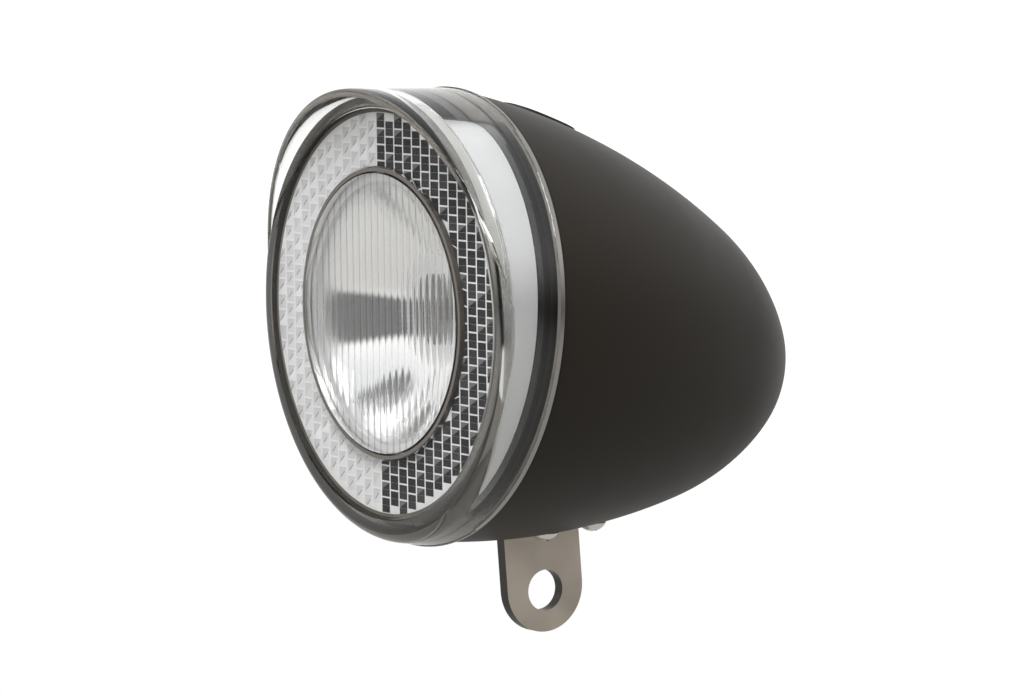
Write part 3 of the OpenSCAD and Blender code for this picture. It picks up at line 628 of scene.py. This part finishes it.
def brickPaintedReflection(tree):
    # painted reflection: the prisms are painted pale, as if shining back, on one half of the ring and dark on the other
    tone, half, facet = (add(tree, "ShaderNodeAttribute", attribute_name=n).outputs["Fac"]
                         for n in ("brickTone", "brickHalf", "facetPaintedLight"))
    cube = calc(tree, "POWER", tone, 3)
    dark = calc(tree, "ADD", calc(tree, "MULTIPLY", cube, 0.03), calc(tree, "MULTIPLY", half, 0.006))
    dark = calc(tree, "ADD", calc(tree, "ADD", dark, 0.035), calc(tree, "MULTIPLY", facet, 0.16))
    pale = calc(tree, "ADD", calc(tree, "MULTIPLY", tone, 0.22), 0.7)
    pale = calc(tree, "SUBTRACT", pale, calc(tree, "MULTIPLY", facet, 0.5))
    side = calc(tree, "GREATER_THAN", objectAxis(tree, "X"), -reflex["pitch"] / 2 * mm)
    return grey(tree, add(tree, "ShaderNodeMix", {"Factor": side, "A": pale, "B": dark}).outputs["Result"])


def blend(tree, share, low, high):
    mix = add(tree, "ShaderNodeMix", data_type="RGBA")
    tree.links.new(share, mix.inputs[0])
    mix.inputs[6].default_value = (*low, 1)
    mix.inputs[7].default_value = (*high, 1)
    return mix.outputs[2]


def twoColours(axis, edge, low, high):
    return lambda tree: blend(tree, calc(tree, "GREATER_THAN", objectAxis(tree, axis), edge * mm), low, high)


def plateEdgeWithPaintedShade(tree):
    # pale from outside; dark when looked at through the plate, a painted shade of the seat's corner
    return blend(tree, add(tree, "ShaderNodeNewGeometry").outputs["Backfacing"], (0.6, 0.59, 0.56), (0.05, 0.046, 0.04))


copper, sleeve = (0.42, 0.16, 0.06), (0.012, 0.012, 0.014)
paints = dict(
    body=surface("bodyBlack", (0.0135, 0.0108, 0.008), 0.5, 5200, 0.08, specular=0.2,
                 tint=(1, 0.93, 0.85, 1)),
    rubber=surface("buttonRubber", (0.012, 0.011, 0.0105), 0.62, 3000, 0.2),
    frame=surface("frameBlack", (0.012, 0.011, 0.01), 0.5, 2600, 0.005, specular=0.1),
    band=surface("carrierBlack", (0.012, 0.011, 0.01), 0.4, 2600, 0.005, specular=0.4),
    steel=surface("tongueSteel", (0.53, 0.47, 0.4), 0.42, 2400, 0.14, 0.2, 0.9, metallic=1),
    steelEdge=surface("tongueEdge", (0.05, 0.045, 0.04), 0.4, 2400, 0.1, metallic=1),
    screw=surface("screwSteel", (0.62, 0.6, 0.57), 0.22, 1800, 0.05, metallic=1),
    bowl=surface("bowlSilver", (0.9, 0.9, 0.89), bowlGloss, 300, 0.03, 0.04, 0.05, metallic=1),
    skirt=surface("bowlSkirt", (0.95, 0.95, 0.95), 0.4, 300, 0.03, 0.04, 0.05, metallic=0.25),
    collar=surface("bowlCollar", (0.9, 0.9, 0.89), 0.42, 300, 0.03, 0.04, 0.05, metallic=1),
    gasket=surface("gasketDark", (0.13, 0.115, 0.1), 0.4),
    mortar=surface("reflexMortar", (0.88, 0.88, 0.87), 0.5, 900, 0.05, 0.05, 0.05, specular=0.1),
    border=surface("reflexBorder", (0.22, 0.2, 0.17), 0.5, 900, 0.05, specular=0),
    bricks=surface("reflexBricks", brickPaintedReflection, 0.5, 900, 0.05, 0.05, 0.1, specular=0.1),
    clear=clearPlastic("clearRing", (0.97, 0.975, 0.97), 0.015),
    land=clearPlastic("ringLand", (0.055, 0.05, 0.042), 0.05),
    visorEdge=clearPlastic("visorEdge", (0.7, 0.68, 0.64), 0.05),
    rear=surface("ringRear", (0.42, 0.395, 0.35), 0.5, 900, 0.03, specular=0.1),
    lip=surface("ringLip", (0.3, 0.29, 0.28), 0.16, 900, 0.03, 0.05, 0.1, metallic=0.85),
    plate=clearPlastic("reflexPlate", (0.98, 0.98, 0.98), 0.02, index=1.12),
    plateEdge=surface("reflexPlateEdge", plateEdgeWithPaintedShade, 0.5, 900, 0.05, specular=0),
    lens=clearPlastic("lensClear", (0.98, 0.98, 0.98), 0.03),
    lensRim=surface("lensRim", (0.95, 0.95, 0.94), 0.2, 900, 0.03, metallic=1),
    board=surface("boardGreen", (0.02, 0.11, 0.045), 0.4, 1500, 0.1),
    ledBoard=surface("ledBoard", (0.3, 0.3, 0.29), 0.6, 1500, 0.05, specular=0.2),
    # the emitter is painted dark brownish grey, a painted reflection that carries on the dark band reflected in the
    # bowl
    emitterPaintedReflection=surface("ledEmitterPaintedReflection", (0.13, 0.11, 0.07), 0.4, 1500, 0.05),
    aluminium=surface("sinkAluminium", (0.6, 0.61, 0.62), 0.38, 2600, 0.1, metallic=1),
    switch=surface("switchBlack", (0.02, 0.02, 0.021), 0.35),
    nickel=surface("contactNickel", (0.66, 0.62, 0.55), 0.25, 1800, 0.05, metallic=1),
    wires=surface("wireSleeves", twoColours("X", 0, (0.015, 0.015, 0.016), (0.4, 0.02, 0.015)), 0.4),
    cellLeft=surface("cellSleeveLeft", twoColours("X", -9, copper, sleeve), 0.28, 1500, 0.05, metallic=0.4),
    cellRight=surface("cellSleeveRight", twoColours("X", 9, sleeve, copper), 0.28, 1500, 0.05, metallic=0.4),
)


def give(obj, *mats):
    keep = [p.material_index for p in obj.data.polygons] if len(mats) > 1 else [0] * len(obj.data.polygons)
    obj.data.materials.clear()
    for m in mats:
        obj.data.materials.append(m)
    obj.data.polygons.foreach_set("material_index", keep)
    return obj


def giveByRule(obj, rule, *names):
    # the rule says which paint a face gets
    give(obj, *(paints[n] for n in names))
    obj.data.polygons.foreach_set("material_index", [int(rule(p)) for p in obj.data.polygons])


bowlZones = 8.8, 19.6  # collar and rim


def bowlPart(p):
    # 1 for the satin skirt and rim, 2 for the flat collar round the light
    across = p.center / mm - lensCentre
    r = Vector((across.x, across.z)).length
    return 1 if r > bowlZones[1] else 2 if r < bowlZones[0] else 0


def onPlateEdge(p):
    away = p.center / mm - lensCentre
    return abs(p.normal.y) < 0.5 and Vector((away.x, away.z)).length > reflex["border"]


def stand(obj, bodyName, slot, *replaced):
    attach(obj, bodyName)
    if replaced:
        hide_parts(*replaced)


# pieces

stand(give(makeBody(), paints["body"]), "housing", "body_black", "housing_shell")
print("body made")

clearRing = give(makeRing(), *(paints[n] for n in ("clear", "rear", "lip", "land", "visorEdge")))
stand(clearRing, "lens_unit", "ring_clear", "lens_ring")
print("ring made")


def flatRing(name, low, high, front, back):
    return turned(name, [(low, front), (low, back), (high, back), (high, front)], onLens)


plate = flatRing("reflexPlate", reflex["inner"], reflex["outer"], 0, -reflex["back"])
giveByRule(plate, onPlateEdge, "plate", "plateEdge")
stand(plate, "lens_unit", "reflex_clear", "reflex_ring")
bricks = addMesh("reflexBricks", [], [])
brickThick = 0.04
runGroup(bricks, brickGroup(), {
    "Pitch": reflex["pitch"] * mm, "Gap Across": reflex["gapAcross"] * mm, "Gap Along": reflex["gapAlong"] * mm,
    "Split": reflex["split"] * mm, "Inner": reflex["inner"] * mm, "Outer": reflex["border"] * mm,
    "Thick": brickThick * mm, "Depth": reflex["depth"] * mm, "Rows": reflex["rows"], "Seed": reflex["seed"],
    "Tick Width": reflex["tick"][0] * mm, "Tick Length": reflex["tick"][1] * mm,
    "Tick Turn": radians(reflex["tick"][2]), "Material": paints["bricks"]})
bricks.data.transform(lensMatrix())
stand(bricks, "lens_unit", "reflex_clear")
mortarFront = -reflex["depth"] - brickThick / 2
for name, low, high, paint in (("reflexMortar", reflex["inner"] + 0.05, reflex["border"], "mortar"),
                               ("reflexBorder", reflex["border"] + 0.02, reflex["outer"] - 0.05, "border")):
    backing = flatRing(name, low, high, mortarFront, 0.05 - reflex["back"])
    stand(give(backing, paints[paint]), "lens_unit", "reflex_clear")
print("reflex ring made")

fluted = makeLens()
runGroup(fluted, fluteGroup(), {
    "Pitch": 2 * lens["radius"] / lens["flutes"] * mm, "Depth": lens["depth"] * mm,
    "Half Width": lens["radius"] * mm, "Back": (0.1 - lens["thick"]) * mm, "Material": paints["lens"]})
tidyMesh(fluted.data, 20)
giveByRule(fluted, lambda p: abs(p.normal.z) < 0.3, "lens", "lensRim")
fluted.data.transform(lensMatrix())
stand(fluted, "lens_unit", "lens_clear", "front_lens")
seal = flatRing("lensSeal", gasket["inner"], gasket["outer"], gasket["front"], gasket["back"])
stand(give(seal, paints["gasket"]), "lens_unit", "gasket_dark", "lens_gasket")
print("lens made")

# pieces that keep their solids
coats = dict(
    steel=["mount_tongue"], screw=["tongue_screws", "tongue_nuts", "bowl_screws", "led_screws", "board_screws",
                                   "cradle_screws"],
    frame=["button_retainer", "battery_cradle"], band=["carrier"], rubber=["power_button", "mouth_seal"],
    bowl=["reflector_bowl"], ledBoard=["led_board"], board=["control_board"], emitterPaintedReflection=["led_emitter"],
    aluminium=["heat_sink"], switch=["tact_switch", "switch_plunger"], nickel=["contact_plates", "contact_springs"],
    wires=["lead_wires"], cellLeft=["battery_upper", "battery_rear"], cellRight=["battery_lower"],
)
for paint, names in coats.items():
    for name in names:
        give(nodes[name], paints[paint])
giveByRule(nodes["reflector_bowl"], bowlPart, "bowl", "skirt", "collar")
giveByRule(nodes["mount_tongue"], lambda p: abs(p.normal.x) < 0.5, "steel", "steelEdge")

# light and camera

camera = dict(azimuth=56.938, elevation=5.05, roll=-0.8, distance=700, lens=160.1, aim=(83.8, 30.6), pixel=6.577)
studio = dict(level=1.2, bandHeight=0.07, bandHalf=0.13, bandGrowth=0.2, bandSoft=0.05, sideSoft=0.25, dark=0.05,
              floor=(0.55, 0.545, 0.53), ceiling=(0.75, 0.765, 0.785), gap=(-0.3, -0.48, 0.82), gapSize=(0.34, 0.36))


def makeCamera():
    a, e, roll = (radians(camera[k]) for k in ("azimuth", "elevation", "roll"))
    backward = Vector((sin(a) * cos(e), -cos(a) * cos(e), sin(e)))
    right = Vector((cos(a), sin(a), 0))
    up = backward.cross(right)
    rollRight, rollUp = right * cos(roll) + up * sin(roll), up * cos(roll) - right * sin(roll)
    eye = flangeCentre + backward * camera["distance"]
    target = flangeCentre + (rollRight * camera["aim"][0] - rollUp * camera["aim"][1]) / camera["pixel"]
    out = (eye - target).normalized()
    side = rollUp.cross(out).normalized()
    m = Matrix((side, out.cross(side), out)).transposed().to_4x4()
    m.translation = eye * mm
    data = bpy.data.cameras.new("camera")
    data.lens, data.clip_start, data.clip_end = camera["lens"], 0.01, 20
    obj = bpy.data.objects.new("camera", data)
    obj.matrix_world = m
    bpy.context.scene.collection.objects.link(obj)
    bpy.context.scene.camera = obj
    return Vector((backward.x, backward.y, 0)).normalized()


def addLamp(name, place, size, power, target=(0, 0, 0.04)):
    data = bpy.data.lights.new(name, "AREA")
    data.shape, data.size, data.size_y, data.energy = "RECTANGLE", size[0], size[1], power
    obj = bpy.data.objects.new(name, data)
    obj.location = place
    obj.rotation_mode = "QUATERNION"
    obj.rotation_quaternion = (Vector(target) - Vector(place)).to_track_quat("-Z", "Y")
    bpy.context.scene.collection.objects.link(obj)


def makeWorld(cameraSide):
    # white all round, with a dark band at eye level that widens towards the camera
    world = bpy.data.worlds.new("studio")
    bpy.context.scene.world = world
    world.use_nodes = True
    tree = world.node_tree
    where = add(tree, "ShaderNodeTexCoord").outputs["Generated"]
    height = add(tree, "ShaderNodeSeparateXYZ", {0: where}).outputs["Z"]
    facing = add(tree, "ShaderNodeVectorMath", {0: where, 1: cameraSide}, operation="DOT_PRODUCT").outputs["Value"]
    away = calc(tree, "ABSOLUTE", calc(tree, "SUBTRACT", height, studio["bandHeight"]))
    half = calc(tree, "ADD", calc(tree, "MULTIPLY", facing, studio["bandGrowth"]), studio["bandHalf"])
    side = Vector((-cameraSide.y, cameraSide.x, 0))
    aside = add(tree, "ShaderNodeVectorMath", {0: where, 1: side}, operation="DOT_PRODUCT").outputs["Value"]
    soft = calc(tree, "MULTIPLY", calc(tree, "MAXIMUM", aside, 0), studio["sideSoft"])
    soft = calc(tree, "ADD", soft, studio["bandSoft"])
    band = add(tree, "ShaderNodeMapRange", {
        "Value": calc(tree, "SUBTRACT", away, half), "From Min": calc(tree, "MULTIPLY", soft, -1), "From Max": soft,
        "To Min": studio["dark"], "To Max": 1}, interpolation_type="SMOOTHSTEP").outputs["Result"]
    # a tall narrow gap in the ceiling
    middle = Vector(studio["gap"]).normalized()
    across = middle.cross(Vector((0, 0, 1))).normalized()
    wide, tall = studio["gapSize"]
    parts = [add(tree, "ShaderNodeVectorMath", {0: where, 1: v}, operation="DOT_PRODUCT").outputs["Value"]
             for v in (across / wide, middle.cross(across) / tall, middle)]
    flat = add(tree, "ShaderNodeCombineXYZ", {0: parts[0], 1: parts[1], 2: calc(tree, "LESS_THAN", parts[2], 0)})
    spread = add(tree, "ShaderNodeVectorMath", {0: flat.outputs[0]}, operation="LENGTH").outputs["Value"]
    gap = add(tree, "ShaderNodeMapRange", {"Value": spread, "From Min": 0.8, "From Max": 1, "To Min": 0.1, "To Max": 1},
              interpolation_type="SMOOTHSTEP")
    band = calc(tree, "MULTIPLY", band, gap.outputs["Result"])
    floor = add(tree, "ShaderNodeMapRange", {"Value": height, "From Min": 0, "From Max": -0.35},
                interpolation_type="SMOOTHSTEP").outputs["Result"]
    ceiling = add(tree, "ShaderNodeMapRange", {"Value": height, "From Min": 0.35, "From Max": 0.75},
                  interpolation_type="SMOOTHSTEP").outputs["Result"]
    shade = add(tree, "ShaderNodeVectorMath", {
        0: blend(tree, floor, (1, 1, 1), studio["floor"]), 1: blend(tree, ceiling, (1, 1, 1), studio["ceiling"])},
        operation="MULTIPLY").outputs[0]
    lit = add(tree, "ShaderNodeVectorMath", {
        0: shade, "Scale": calc(tree, "MULTIPLY", band, studio["level"])}, operation="SCALE").outputs[0]
    path = add(tree, "ShaderNodeLightPath")
    seen = add(tree, "ShaderNodeVectorMath", {0: lit, 1: grey(tree, path.outputs["Is Camera Ray"])}, operation="MAXIMUM")
    tree.links.new(seen.outputs[0], tree.nodes["Background"].inputs["Color"])


makeWorld(makeCamera())
addLamp("key", (0.3, -0.35, 0.7), (0.4, 0.4), 6.5)
scene = bpy.context.scene
scene.view_settings.view_transform = "Standard"
scene.cycles.max_bounces = 16
scene.cycles.transmission_bounces = 14
scene.cycles.diffuse_bounces = 8
scene.cycles.use_denoising = True
print("stage made")

low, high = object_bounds()
